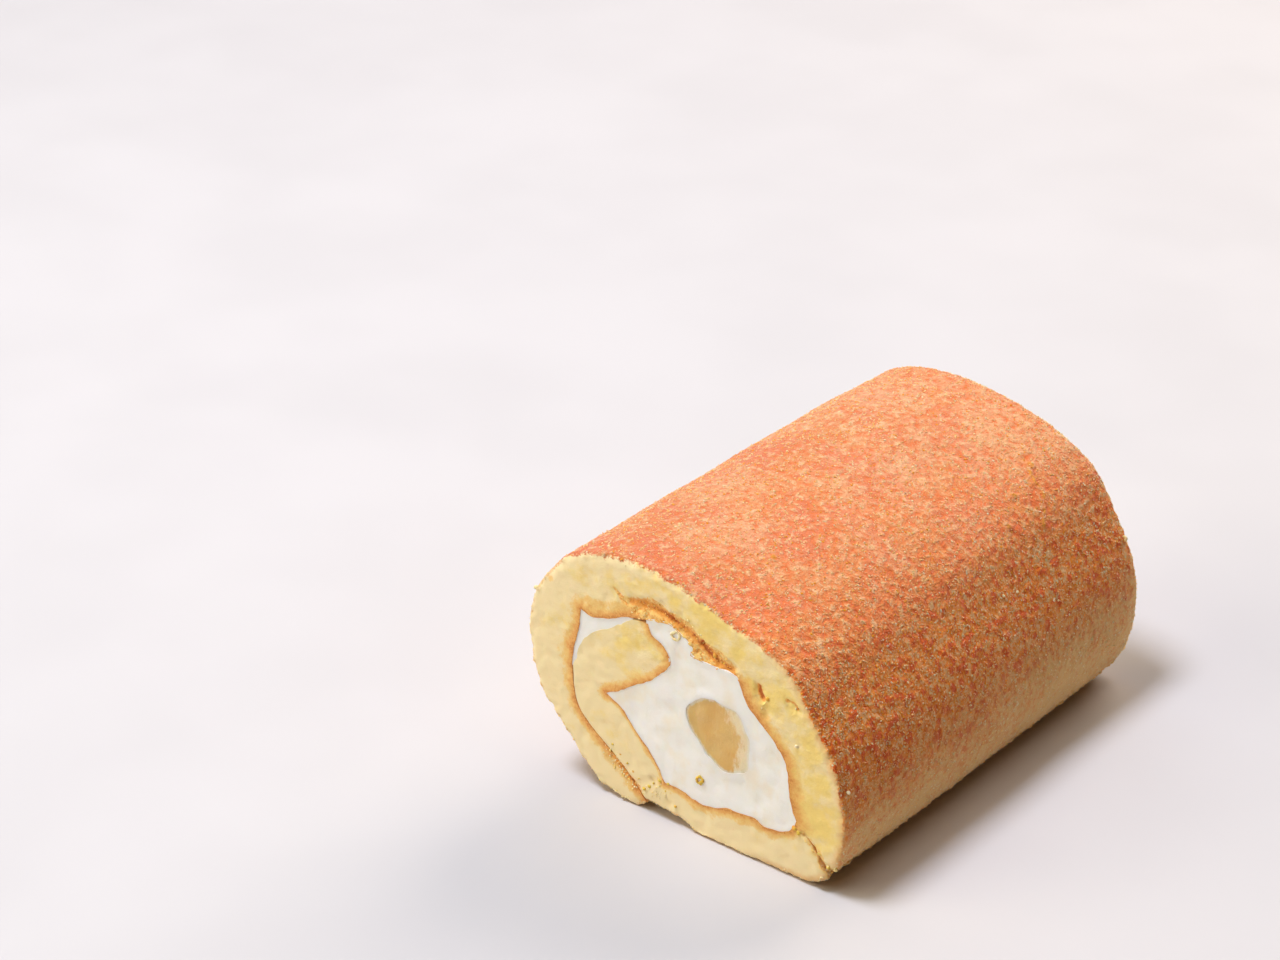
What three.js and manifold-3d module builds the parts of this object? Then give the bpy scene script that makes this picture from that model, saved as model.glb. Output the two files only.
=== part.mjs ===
// A short length of swiss roll cake: one sheet of sponge rolled round whipped cream and a strip of peach,
// cut square at both ends and lying on its side. Millimetres, +Z up, the roll's axis along Y.
// The cut face with the clearer spiral looks along -Y.
import * as THREE from 'three'
import { ImprovedNoise } from 'three/addons/math/ImprovedNoise.js'
import { mergeVertices } from 'three/addons/utils/BufferGeometryUtils.js'
import Module from 'manifold-3d'

// Driving dimensions. The outlines further down are drawn for a roll of this width and height.
const rollLength = 98
const rollWidth = 72
const rollHeight = 51.5
const touchGap = 0.3 // clearance between pieces that touch
const seamGap = 0.45 // clearance between one turn of the sponge and the next
const nearArris = 0.7 // how far the outer edge is rounded in at the near cut
const nearRounding = 1.4 // and how far along the roll that rounding runs
const farArris = 1.6 // the far cut is more crushed
const farRounding = 4
const narrowing = 0.015 // share of the width that the far end loses
const heightening = 0.032 // share of the height that it gains
const barrel = 0.012 // share of the height that the middle bulges up
const axisDrift = 3.7 // sideways run of the axis from end to end
const innerTurn = THREE.MathUtils.degToRad(4) // turn of the filling from end to end
const outlineStep = 3 // spacing of the points on the outer outline
const fillingStep = 2.4 // and on the outlines of the filling
const ringSpacing = 6.2 // spacing along the roll of the outside's rings
const fillingSpacing = 14 // and of the filling's
const overshoot = 3 // how far a cutter runs past each cut face
const creamRecess = 0.35 // how far each piece of filling lies inside the cuts
const tuckRecess = 0.4
const fruitRecess = 0.6
const crackDepth = 12 // how far the crack at the lower right corner runs in from each cut
const crackRoot = 0.1 // share of its section that is left where it ends
const crackSpacing = 4

const wasm = await Module()
wasm.setup()
const noise = new ImprovedNoise()
const halfLength = rollLength / 2
const point = (x, z) => new THREE.Vector2(x, z)

// Smooth stretches joined at corners: each is a spline through its own points to the first point of the
// next one, and a stretch of one point is a straight edge.
function outline(step, ...stretches) {
  const points = []
  stretches.forEach((stretch, i) => {
    const next = stretches[(i + 1) % stretches.length][0]
    const curve = new THREE.SplineCurve([...stretch, next].map(([x, z]) => point(x, z)))
    const steps = stretch.length === 1 ? 1 : Math.max(1, Math.round(curve.getLength() / step))
    points.push(...curve.getSpacedPoints(steps).slice(0, -1))
  })
  return THREE.ShapeUtils.isClockWise(points) ? points.reverse() : points
}

// Moves each point of a counter-clockwise outline outwards along its normal, or inwards if negative.
// At a sharp corner the point moves no further than the mitre limit allows.
const mitreLimit = 0.55
function grow(points, distance) {
  return points.map((here, i) => {
    const before = points[(i + points.length - 1) % points.length]
    const after = points[(i + 1) % points.length]
    const along = [here.clone().sub(before).normalize(), after.clone().sub(here).normalize()]
    const normal = point(along[0].y + along[1].y, -along[0].x - along[1].x).normalize()
    const mitre = Math.max(mitreLimit, normal.dot(point(along[0].y, -along[0].x)))
    return here.clone().addScaledVector(normal, distance / mitre)
  })
}

// A band of the given width along an open line, as a closed outline.
function band(line, width) {
  const spread = (i) => {
    const along = line[Math.min(i + 1, line.length - 1)].clone().sub(line[Math.max(i - 1, 0)]).normalize()
    return point(along.y, -along.x).multiplyScalar(width / 2)
  }
  const right = line.map((p, i) => p.clone().add(spread(i)))
  const left = line.map((p, i) => p.clone().sub(spread(i))).reverse()
  const points = [...right, ...left]
  return THREE.ShapeUtils.isClockWise(points) ? points.reverse() : points
}

// --- Section of the roll, X to the right and Z up, as seen at the near cut ---

// Outside of the whole roll. The sheet's outer end is tucked under at the lower left.
const rollOutside = outline(
  outlineStep,
  [
    [-10.5, 0], [-15, 0.3], [-19.5, 1.8], [-23, 4.6], [-28, 10.4], [-33.2, 16.4], [-35.6, 23.4],
    [-36, 30], [-34.7, 36.8], [-30.5, 43.2], [-25.4, 48.4], [-18.8, 50.9], [-10.9, 51.5], [-2, 51],
    [7, 49.2], [14.6, 46.6], [20.1, 43.9], [25, 40.1], [29.2, 33.7], [33, 27], [35.4, 19.5],
    [36, 13], [34.8, 6.8], [32, 2.4],
  ],
  [[28, 0]],
  [[3, 0], [-1.2, 1.5], [-5.6, 2], [-9, 1.3]],
)

// Main body of cream, bounded by the browned side of the sheet.
const creamOutside = outline(
  fillingStep,
  [[-8, 41], [-3.4, 41.9], [0.3, 40.2]],
  [[1.8, 39], [1.9, 37.4], [6, 36.9], [11.3, 36.9]],
  [[12.7, 35.4], [13.9, 32.6], [16.8, 29.9], [20.2, 26.8], [22.7, 23.4], [23.5, 19.2], [23.9, 16]],
  [[25.5, 12.4], [24.8, 10.6], [22.4, 8.9], [18.5, 8.4], [16.3, 9.2], [11.1, 8.6], [4.7, 7.1], [-0.3, 8]],
  [[-3.8, 8.1], [-6.4, 12.4], [-11, 17.2], [-13.8, 20.2]],
  [[-17.4, 22], [-14.2, 23.7], [-10.6, 26.3], [-6.2, 29.5], [-3.2, 33.1], [-2.8, 35.2], [-4.2, 37.2]],
  [[-7, 38.6]],
)

// The thin wedge of cream squeezed between the inner flap of sponge and the turn that lies over it.
const tuckOutside = outline(
  fillingStep,
  [[-23.3, 37.6], [-21.2, 36.8], [-18.8, 37.3], [-14, 39.3]],
  [[-11.6, 40.2]],
  [[-13.4, 38.7], [-17.6, 35.8], [-21.2, 33.3], [-23.9, 29.8]],
  [[-25.5, 25.2], [-25, 29.3], [-23.7, 33.6]],
)

// Peach strip, off centre in the cream.
const fruitOutside = outline(
  fillingStep,
  [[0.6, 25.2], [1.9, 27.7], [5.6, 29.9]],
  [[8.4, 29.8], [12, 29.6], [13.6, 27]],
  [[15, 25.2], [14.8, 21.9], [14.5, 18]],
  [[11, 16.6], [8.6, 16.5], [4.1, 20.1], [1.8, 23]],
)

// Where one turn lies on the next: down the left side and out at the sheet's outer end.
const seamLine = new THREE.SplineCurve([
  point(-25.3, 25.8), point(-25.3, 21), point(-24.4, 17), point(-21.8, 13.8), point(-17.8, 10.8),
  point(-14.4, 8), point(-11.2, 4.9), point(-8.6, 2.6), point(-6.6, -1.5),
]).getSpacedPoints(18)

// The flap's top edge touches the turn above it.
const flapLine = [point(-11.9, 40), point(-9.8, 40.5), point(-7.4, 40.6)]

// The sheet has cracked from the outside where it was bent round the lower right corner.
const crackMouth = point(34.5, 2.5)
const crackOutside = outline(
  outlineStep,
  [[27.2, 10.1]], [[29, 9.6]], [[30.6, 8.6]], [[31.6, 6.8]], [[33.1, 5.6]], [[37, 4.8]],
  [[37, -1.2]], [[32.2, 1.2]], [[31.8, 3.4]], [[30.4, 4.7]], [[30, 6.6]], [[28.6, 8.2]],
)

// --- From the section to the roll ---

// Share of the length travelled, 0 at the near cut and 1 at the far cut.
const along = (y) => (y + halfLength) / rollLength

// The rolled shape at y: it narrows, rises and drifts towards the far end and bulges in the middle.
function place(x, y, z) {
  const t = along(y)
  const bulge = 1 + barrel * Math.sin(Math.PI * THREE.MathUtils.clamp(t, 0, 1))
  const wide = x * (1 - narrowing * t) + axisDrift * (t - 0.5)
  return [wide, y, z * (1 + heightening * t) * bulge]
}

// The filling also turns a little about the roll's middle on its way to the far end.
function placeFilling(x, y, z) {
  const angle = innerTurn * along(y)
  const [up, side] = [z - rollHeight / 2, x]
  const turnedX = side * Math.cos(angle) - up * Math.sin(angle)
  const turnedZ = side * Math.sin(angle) + up * Math.cos(angle)
  return place(turnedX, y, turnedZ + rollHeight / 2)
}

// The peach is cut unevenly, so its strip twists, tapers, leans aside and waves up and down as well.
const fruitMiddle = point(8, 23.2)
const fruitTaper = 0.14
const fruitTwist = -0.45
const fruitLean = -1.5
const fruitWave = { height: 1, turn: 4 }
function placeFruit(x, y, z) {
  const t = along(y)
  const offset = point(x, z).sub(fruitMiddle).multiplyScalar(1 - fruitTaper * t)
  offset.rotateAround(point(0, 0), fruitTwist * t)
  const middle = point(fruitLean * t, fruitWave.height * Math.sin(fruitWave.turn * t)).add(fruitMiddle)
  return placeFilling(middle.x + offset.x, y, middle.y + offset.y)
}

// The crack closes up towards its mouth on the way in from the cut.
function placeCrack(x, y, z) {
  const outwards = THREE.MathUtils.clamp((Math.abs(y) - halfLength) / crackDepth + 1, 0, 1)
  const reach = crackRoot + (1 - crackRoot) * Math.sqrt(outwards)
  const offset = point(x, z).sub(crackMouth).multiplyScalar(reach)
  return place(crackMouth.x + offset.x, y, crackMouth.y + offset.y)
}

// A closed skin over rings of points, one ring for each station along Y.
function loft(rings, placing) {
  const count = rings[0].points.length
  const positions = rings.flatMap(({ points, y }) => points.flatMap((p) => placing(p.x, y, p.y)))
  const triangles = []
  for (let ring = 0; ring < rings.length - 1; ring++) {
    for (let i = 0; i < count; i++) {
      const [a, b] = [ring * count + i, ring * count + ((i + 1) % count)]
      triangles.push(a, b + count, b, a, a + count, b + count)
    }
  }
  const last = (rings.length - 1) * count
  for (const [a, b, c] of THREE.ShapeUtils.triangulateShape(rings[0].points, [])) {
    triangles.push(a, b, c)
  }
  for (const [a, b, c] of THREE.ShapeUtils.triangulateShape(rings.at(-1).points, [])) {
    triangles.push(last + a, last + c, last + b)
  }
  const geometry = new THREE.BufferGeometry()
  geometry.setAttribute('position', new THREE.Float32BufferAttribute(positions, 3))
  return geometry.setIndex(triangles)
}

// Stations from one end to the other with about the given spacing.
function stations(start, end, spacing) {
  const steps = Math.ceil((end - start) / spacing)
  return Array.from({ length: steps + 1 }, (_, i) => start + ((end - start) * i) / steps)
}

const prism = (points, start, end, placing, spacing = fillingSpacing) =>
  loft(stations(start, end, spacing).map((y) => ({ points, y })), placing)

function solid(geometry) {
  const bare = geometry.clone()
  bare.deleteAttribute('normal')
  bare.deleteAttribute('uv')
  const merged = mergeVertices(bare)
  return new wasm.Manifold(new wasm.Mesh({
    numProp: 3,
    vertProperties: new Float32Array(merged.attributes.position.array),
    triVerts: new Uint32Array(merged.index.array),
  }))
}

function geometryOf(body) {
  const mesh = body.getMesh()
  const geometry = new THREE.BufferGeometry()
  geometry.setAttribute('position', new THREE.BufferAttribute(mesh.vertProperties, 3))
  return geometry.setIndex(new THREE.BufferAttribute(mesh.triVerts, 1))
}

function cutter(points, placing) {
  return solid(prism(points, -halfLength - overshoot, halfLength + overshoot, placing))
}

function crackCutter(end) {
  const [deep, open] = [end * (halfLength - crackDepth), end * (halfLength + overshoot)]
  return solid(prism(crackOutside, Math.min(deep, open), Math.max(deep, open), placeCrack, crackSpacing))
}

// --- Sponge ---

// Hand-rolled unevenness: lumps of two sizes and a few dents, none where the roll is pressed flat.
const lumps = [
  { size: 17, rise: 0.5, shift: 0 },
  { size: 7, rise: 0.25, shift: 9 },
]
const pressedBelow = 1.5
const freeAbove = 8
const dents = [
  { x: 7, y: -halfLength, z: 49, reach: 8, depth: 1.1 }, // the top sags over the torn skin
  { x: -30, y: -halfLength, z: 12, reach: 3.5, depth: 0.4 },
  { x: 12, y: 20, z: 49, reach: 14, depth: 0.8 },
  { x: 33, y: 12, z: 30, reach: 12, depth: 0.7 },
]
function placeOutside(x, y, z) {
  const [px, py, pz] = place(x, y, z)
  const outwards = new THREE.Vector3(px / rollWidth, 0, pz / rollHeight - 0.5).normalize()
  let rise = 0
  for (const lump of lumps) {
    rise += lump.rise * noise.noise(px / lump.size, py / lump.size + lump.shift, pz / lump.size)
  }
  for (const dent of dents) {
    const away = new THREE.Vector3(px - dent.x, py - dent.y, pz - dent.z).length() / dent.reach
    rise -= dent.depth * Math.exp(-away * away)
  }
  rise *= THREE.MathUtils.smoothstep(z, pressedBelow, freeAbove)
  return [px + outwards.x * rise, py, Math.max(0, pz + outwards.z * rise)]
}

// Rings of the outside, drawn in near each cut so that the arris is rounded.
const roundingSteps = [{ along: 0, inset: 1 }, { along: 0.18, inset: 0.55 }, { along: 0.5, inset: 0.18 }]
function outsideRings() {
  const plain = stations(-halfLength + nearRounding, halfLength - farRounding, ringSpacing)
  const near = roundingSteps.map((step) => (
    { points: grow(rollOutside, -nearArris * step.inset), y: -halfLength + step.along * nearRounding }
  ))
  const far = roundingSteps.map((step) => (
    { points: grow(rollOutside, -farArris * step.inset), y: halfLength - step.along * farRounding }
  ))
  return [...near, ...plain.map((y) => ({ points: rollOutside, y })), ...far.reverse()]
}

// Caves where the browned skin has torn away above the cream, and pits in the crumb, at both cuts.
// Their sizes and places come from a seeded generator, so that they are the same in each build.
const generator = { seed: 7, multiplier: 16807, modulus: 2147483647 }
function between(low, high) {
  generator.seed = (generator.seed * generator.multiplier) % generator.modulus
  return low + ((high - low) * generator.seed) / generator.modulus
}
const tearLine = new THREE.SplineCurve([
  point(-14.5, 44.8), point(-10.8, 43.4), point(-7, 44.6), point(-3, 43.8), point(1, 42.6), point(4, 40.4),
  point(10.6, 38.4),
])
const cavesAlongTear = 8
const caveWander = 0.6
const pitRoughness = 0.25
const pits = [
  { x: 5.4, z: 39.3, wide: 2.7, high: 1.9, deep: 4 },
  { x: 16.9, z: 36, wide: 1.2, high: 2.5, deep: 3.2 },
  { x: 18.6, z: 32.6, wide: 1.1, high: 1.5, deep: 1.8 },
  { x: 24.2, z: 35.4, wide: 2, high: 0.7, deep: 1.4 },
  { x: -11.6, z: 48.2, wide: 1, high: 0.8, deep: 0.9 },
  { x: -6.6, z: 7.6, wide: 0.9, high: 0.9, deep: 1.2 },
  { x: -3, z: 3.7, wide: 0.9, high: 0.8, deep: 1.2 },
]
function pitCutter({ x, z, wide, high, deep }, end) {
  const lump = new THREE.IcosahedronGeometry(1, 1)
  const points = lump.attributes.position
  for (let i = 0; i < points.count; i++) {
    const [u, v, w] = [points.getX(i) * 2 + x, points.getY(i) * 2, points.getZ(i) * 2 + z]
    const rough = 1 + pitRoughness * noise.noise(u, v, w)
    points.setXYZ(i, points.getX(i) * rough, points.getY(i) * rough, points.getZ(i) * rough)
  }
  const [px, py, pz] = placeFilling(x, end * halfLength, z)
  return solid(lump.scale(wide, deep, high).translate(px, py, pz))
}
function tornPits(end) {
  const torn = tearLine.getSpacedPoints(cavesAlongTear).map((p) => ({
    x: p.x + between(-caveWander, caveWander),
    z: p.y + between(-caveWander, caveWander),
    wide: between(1.6, 2.4),
    high: between(1, 1.9),
    deep: between(1.6, 3.2),
  }))
  return [...torn, ...pits].map((pit) => pitCutter(pit, end))
}

let sponge = solid(loft(outsideRings(), placeOutside))
const hollows = [
  cutter(grow(creamOutside, touchGap), placeFilling),
  cutter(grow(tuckOutside, touchGap), placeFilling),
  cutter(band(seamLine, seamGap), placeFilling),
  cutter(band(flapLine, seamGap), placeFilling),
  ...[-1, 1].flatMap((end) => [crackCutter(end), ...tornPits(end)]),
]
for (const hollow of hollows) sponge = sponge.subtract(hollow)

// --- Filling: each piece stands just clear of what it touches and just inside the cuts ---

function filling(points, recess, placing) {
  return solid(prism(points, -halfLength + recess, halfLength - recess, placing))
}
const fruitHole = cutter(grow(fruitOutside, touchGap), placeFruit)
const cream = filling(creamOutside, creamRecess, placeFilling).subtract(fruitHole)
const creamTuck = filling(tuckOutside, tuckRecess, placeFilling)
const fruit = filling(fruitOutside, fruitRecess, placeFruit)

// --- The parts, each with its own finish ---

const group = new THREE.Group()
function add(name, body, color, roughness) {
  const material = new THREE.MeshStandardMaterial({ color, roughness, metalness: 0 })
  const mesh = new THREE.Mesh(geometryOf(body), material)
  mesh.name = name
  group.add(mesh)
}
add('sponge', sponge, 0xf0c987, 0.95)
add('cream', cream, 0xf4ebdc, 0.6)
add('cream_tuck', creamTuck, 0xf4ebdc, 0.6)
add('fruit', fruit, 0xd9ad6c, 0.35)

// The origin is the middle of the base.
const box = new THREE.Box3().setFromObject(group)
const middle = box.getCenter(new THREE.Vector3())
group.position.set(-middle.x, -middle.y, -box.min.z)
group.updateMatrixWorld(true)

export default group
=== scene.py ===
"""A short length of swiss roll cake: sponge rolled round whipped cream and a strip of peach."""

import math

import bmesh
import bpy
import numpy as np
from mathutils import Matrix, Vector, noise
from mathutils.bvhtree import BVHTree
from mathutils.geometry import delaunay_2d_cdt


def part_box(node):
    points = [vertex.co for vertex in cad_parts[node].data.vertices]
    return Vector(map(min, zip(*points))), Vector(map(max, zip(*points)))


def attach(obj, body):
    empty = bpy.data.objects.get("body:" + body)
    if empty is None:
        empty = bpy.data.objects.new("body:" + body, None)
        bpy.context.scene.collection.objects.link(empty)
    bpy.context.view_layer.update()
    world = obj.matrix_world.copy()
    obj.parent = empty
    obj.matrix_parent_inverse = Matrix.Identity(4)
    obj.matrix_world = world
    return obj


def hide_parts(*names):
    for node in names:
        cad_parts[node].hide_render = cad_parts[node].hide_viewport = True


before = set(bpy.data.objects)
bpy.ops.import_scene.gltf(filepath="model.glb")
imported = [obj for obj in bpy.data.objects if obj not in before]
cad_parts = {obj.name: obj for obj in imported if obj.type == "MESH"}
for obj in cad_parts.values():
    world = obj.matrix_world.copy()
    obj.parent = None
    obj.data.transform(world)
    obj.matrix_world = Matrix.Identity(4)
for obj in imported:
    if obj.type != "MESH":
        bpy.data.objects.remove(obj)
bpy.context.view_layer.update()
scene = bpy.context.scene

# ----------------------------------------------------------------------
# The sheet of sponge. A thin sheet cake, baked flat, spread with cream and rolled up with its browned side
# inwards. The outside is fuzzy open crumb, blushed salmon on top; the cut ends show pale crumb, the browned
# skin along each turn, a torn band above the cream and a crack where the sheet was bent round the corner.

MM = 0.001
LENGTH = 98.0
HALF = LENGTH / 2
HEIGHT = 51.5
NARROWING = 0.015  # share of the width that the far end loses
HEIGHTENING = 0.032
BARREL = 0.012
DRIFT = 3.7  # sideways run of the axis from end to end
FILLING_TURN = math.radians(4)
SHARP_EDGE = math.radians(55)
OUTSIDE_SPACING = 0.56
CRACK_SPACING = OUTSIDE_SPACING / 3.6
EDGE_SPACING = 0.8  # along the edges that the filling hides
CAP_SPACING, TORN_SPACING = 0.55, 0.26
ROW_GAP, LOOSENESS, BORDER_GAP = 0.866, 0.18, 0.55  # of the points on a cut, as shares of their spacing

# The section's edge, anticlockwise as seen at the near cut: each stretch runs to the next one's first point.
UNDER_RIGHT = [(-7.95, 1.75), (-5.6, 2), (-1.2, 1.5)]
BASE = [(3, 0), (28, 0)]
CORNER = [(28, 0), (30.2, 1.1)]
CRACK_LINE = [(32, 2.4), (33.2, 3.9), (34.15, 5.4)]
CRACK = np.array([(32, 2.4), (32.2, 3.7), (31.1, 4.9), (30.6, 6.6), (29.3, 8.2), (27.2, 10.1), (28.9, 9.3),
                  (30.2, 8.3), (31.2, 6.7), (32.6, 5.5), (34.15, 5.4)])
ROUND = [(34.15, 5.4), (34.8, 6.8), (36, 13), (35.4, 19.5), (33, 27), (29.2, 33.7), (25, 40.1),
         (20.1, 43.9), (14.6, 46.6), (7, 49.2), (-2, 51), (-10.9, 51.5), (-18.8, 50.9), (-25.4, 48.4),
         (-30.5, 43.2), (-34.7, 36.8), (-36, 30), (-35.6, 23.4), (-33.2, 16.4), (-28, 10.4),
         (-23, 4.6), (-19.5, 1.8), (-15, 0.3)]
SHEET_END = [(-10.5, 0), (-9, 1.3)]
SEAM_UP = [(-8.3, 1.6), (-8.75, 2.6), (-11.2, 4.9), (-14.4, 8), (-17.8, 10.8), (-21.8, 13.8), (-24.4, 17),
           (-25.3, 21)]
TUCK_LEFT = [(-25.5, 25.2), (-25, 29.3), (-23.7, 33.6)]
TUCK_TOP = [(-23.3, 37.6), (-21.2, 36.8), (-18.8, 37.3), (-14, 39.3)]
FLAP_ABOVE = [(-11.6, 40.2), (-9.9, 40.65)]
CREAM_EDGE = [
    [(-8, 41), (-3.4, 41.9), (0.3, 40.2)],
    [(1.8, 39), (1.9, 37.4), (6, 36.9), (11.3, 36.9)],
    [(12.7, 35.4), (13.9, 32.6), (16.8, 29.9), (20.2, 26.8), (22.7, 23.4), (23.5, 19.2), (23.9, 16)],
    [(25.5, 12.4), (24.8, 10.6), (22.4, 8.9), (18.5, 8.4), (16.3, 9.2), (11.1, 8.6), (4.7, 7.1), (-0.3, 8)],
    [(-3.8, 8.1), (-6.4, 12.4), (-11, 17.2), (-13.8, 20.2)],
    [(-17.4, 22), (-14.2, 23.7), (-10.6, 26.3), (-6.2, 29.5), (-3.2, 33.1), (-2.8, 35.2), (-4.2, 37.2)]]
FLAP_TIP = [(-7, 38.6), (-7.8, 40.45)]
FLAP_BELOW = [(-7.8, 40.45), (-9.8, 40.4)]
TUCK_UNDER = [(-11.6, 40.1), (-13.4, 38.7), (-17.6, 35.8), (-21.2, 33.3), (-23.9, 29.8)]
SEAM_DOWN = [(-25.5, 25.2), *SEAM_UP[:1:-1], (-8.5, 2.6)]
CREAM_LOOP = [*CREAM_EDGE, FLAP_TIP[:1]]


def ramp(low, high, value):
    """0 at low, 1 at high and smooth between; high may be the smaller of the two."""
    t = np.clip((np.asarray(value, float) - low) / (high - low), 0, 1)
    return t * t * (3 - 2 * t)


def between(start, low, high, end, value):
    """0 outside start and end, 1 from low to high."""
    return ramp(start, low, value) * ramp(end, high, value)


def at_y(section, y):
    return np.insert(section, 1, y, axis=1)


def evenly(line, count=0, spacing=1.0):
    """Evenly spaced points along an open line, both ends included."""
    run = np.concatenate([[0], np.cumsum(np.linalg.norm(np.diff(line, axis=0), axis=1))])
    at = np.linspace(0, run[-1], 1 + (count or max(1, round(run[-1] / spacing))))
    return np.stack([np.interp(at, run, values) for values in line.T], 1)


def curve(points, spacing):
    """Evenly spaced points on the smooth curve through the given ones."""
    p = np.array(points, float)
    padded = np.vstack([p[:1], p, p[-1:]])
    t = np.linspace(0, 1, 20, endpoint=False)[:, None]
    fine = []
    for a, b, c, d in zip(padded, padded[1:], padded[2:], padded[3:]):
        before, after = (c - a) / 2, (d - b) / 2
        cubic, square = 2 * b - 2 * c + before + after, 3 * c - 3 * b - 2 * before - after
        fine.append(cubic * t**3 + square * t**2 + before * t + b)
    return evenly(np.vstack([*fine, p[-1:]]), spacing=spacing)


def edge(stretches, spacing, end=None):
    """The stretches joined, and the number of each point's stretch; the edge is closed if no end is given."""
    nexts = [stretch[0] for stretch in stretches[1:]] + [end or stretches[0][0]]
    runs = [curve(stretch if stretch[-1] == to else [*stretch, to], apart)[:-1]
            for stretch, to, apart in zip(stretches, nexts, np.broadcast_to(spacing, len(stretches)))]
    return np.vstack(runs), np.repeat(np.arange(len(runs)), [len(run) for run in runs])


def closed(loop):
    return np.vstack([loop, loop[:1]])


def flat(points):
    return points[:, [0, 2]]


def outward(points):
    """Unit normals of a closed anticlockwise edge."""
    run = np.roll(points, -1, axis=0) - np.roll(points, 1, axis=0)
    normal = np.stack([run[:, 1], -run[:, 0]], 1)
    return normal / np.maximum(np.linalg.norm(normal, axis=1, keepdims=True), 1e-9)


def shape_at(y):
    """How far along the roll y is, and how the roll there drifts, narrows, rises and bulges."""
    t = (y + HALF) / LENGTH
    bulge = 1 + BARREL * math.sin(math.pi * min(max(t, 0), 1))
    return t, DRIFT * (t - 0.5), 1 - NARROWING * t, 1 + HEIGHTENING * t, bulge


def rotated(x, z, angle):
    return x * np.cos(angle) - z * np.sin(angle), x * np.sin(angle) + z * np.cos(angle)


def placed(points, y, turned=1.0):
    """Section points at y on the roll. What turns with the filling is turned by the given share."""
    t, drift, width, rise, bulge = shape_at(y)
    x, z = rotated(points[:, 0], points[:, 1] - HEIGHT / 2, FILLING_TURN * t * turned)
    return np.stack([x * width + drift + shift, (z + HEIGHT / 2) * rise * bulge], 1)


def unplaced(points, y):
    """The reverse of placed for what turns with the filling."""
    t, drift, width, rise, bulge = shape_at(y)
    x, z = rotated((points[:, 0] - shift - drift) / width, points[:, 1] / (rise * bulge) - HEIGHT / 2,
                   -FILLING_TURN * t)
    return np.stack([x, z + HEIGHT / 2], 1)


def inside(points, loops):
    """Which points lie within the loops, holes left out."""
    x, z = points[:, 0, None], points[:, 1, None]
    within = np.zeros(len(points), bool)
    for a in loops:
        b = np.roll(a, -1, axis=0)
        rise = np.where(b[:, 1] == a[:, 1], 1.0, b[:, 1] - a[:, 1])
        left_of = x < a[:, 0] + (z - a[:, 1]) * (b[:, 0] - a[:, 0]) / rise
        within ^= (((a[:, 1] > z) != (b[:, 1] > z)) & left_of).sum(1) % 2 == 1
    return within


def away(points, line):
    """Distance from each point to an open line."""
    a, run = line[:-1], np.diff(line, axis=0)
    t = np.clip(((points[:, None] - a) * run).sum(2) / np.maximum((run**2).sum(1), 1e-9), 0, 1)
    return np.linalg.norm(a + t[..., None] * run - points[:, None], axis=2).min(1)


def depth_in(points, loop):
    """Distance from each point to a closed loop, negative outside it."""
    distance = away(points, closed(loop))
    return np.where(inside(points, [loop]), distance, -distance)


def scattered(low, high, spacing, seed):
    """A loose triangular grid over a rectangle."""
    rows = np.arange(low[1], high[1], spacing * ROW_GAP)
    across = np.arange(low[0], high[0], spacing)
    grid = np.array([(x + (i % 2) * spacing / 2, z) for i, z in enumerate(rows) for x in across])
    return grid + np.random.default_rng(seed).uniform(-LOOSENESS, LOOSENESS, grid.shape) * spacing


def cap(loops, spacing, seed, fine_loop=None):
    """Loose points within the loops, closer together inside the fine one, and triangles over the loops'
    points followed by those loose ones."""
    border = np.vstack(loops)
    low, high = border.min(0), border.max(0)
    grid = scattered(low, high, spacing, seed)
    if fine_loop is not None:
        close = scattered(low, high, TORN_SPACING, seed)
        grid = np.vstack([grid[~inside(grid, [fine_loop])], close[inside(close, [fine_loop])]])
    grid = grid[inside(grid, loops)]
    grid = grid[np.min([away(grid, closed(loop)) for loop in loops], axis=0) > spacing * BORDER_GAP]
    points = np.vstack([border, grid])
    starts = np.cumsum([0] + [len(loop) for loop in loops])
    edges = [(s + i, s + (i + 1) % n) for s, n in zip(starts, map(len, loops)) for i in range(n)]
    _, _, faces, origin, _, _ = delaunay_2d_cdt([Vector(p) for p in points], edges, [], 0, 1e-7)
    source = [o[0] if o else -1 for o in origin]
    faces = np.array([[source[i] for i in face] for face in faces if len(face) == 3])
    faces = faces[(faces >= 0).all(1)]
    return grid, faces[inside(points[faces].mean(1), loops)]


def with_end(points, borders, y, *capping):
    """The points with a cut end's loose ones added, the end's triangles and the numbers of its points."""
    loose, triangles = cap([flat(points[border]) for border in borders], *capping)
    index = np.concatenate([*borders, len(points) + np.arange(len(loose))])
    triangles = index[triangles] if y > 0 else index[triangles][:, ::-1]
    return np.vstack([points, at_y(loose, y)]), triangles.tolist(), index


def texture(points, *layers):
    """Smooth noise at each point, about 0: the sum of layers of (amount, size in millimetres, offset)."""
    return sum(amount * np.array([noise.noise(Vector((x / size + offset, y / size, z / size - offset)))
                                  for x, y, z in points]) for amount, size, offset in layers)


def mesh_object(name, points, faces, attributes, filled=True):
    mesh = bpy.data.meshes.new(name)
    mesh.from_pydata((points * MM).tolist(), [], [list(map(int, f)) for f in faces])
    for key, values in attributes.items():
        mesh.attributes.new(key, "FLOAT", "POINT").data.foreach_set("value", np.asarray(values, np.float32))
    shell = bmesh.new()
    shell.from_mesh(mesh)
    if filled:
        bmesh.ops.holes_fill(shell, edges=[e for e in shell.edges if e.is_boundary])
    bmesh.ops.recalc_face_normals(shell, faces=shell.faces)
    shell.to_mesh(mesh)
    shell.free()
    mesh.shade_smooth()
    mesh.set_sharp_from_angle(angle=SHARP_EDGE)
    return linked(bpy.data.objects.new(name, mesh))


def linked(thing):
    scene.collection.objects.link(thing)
    return thing


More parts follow.
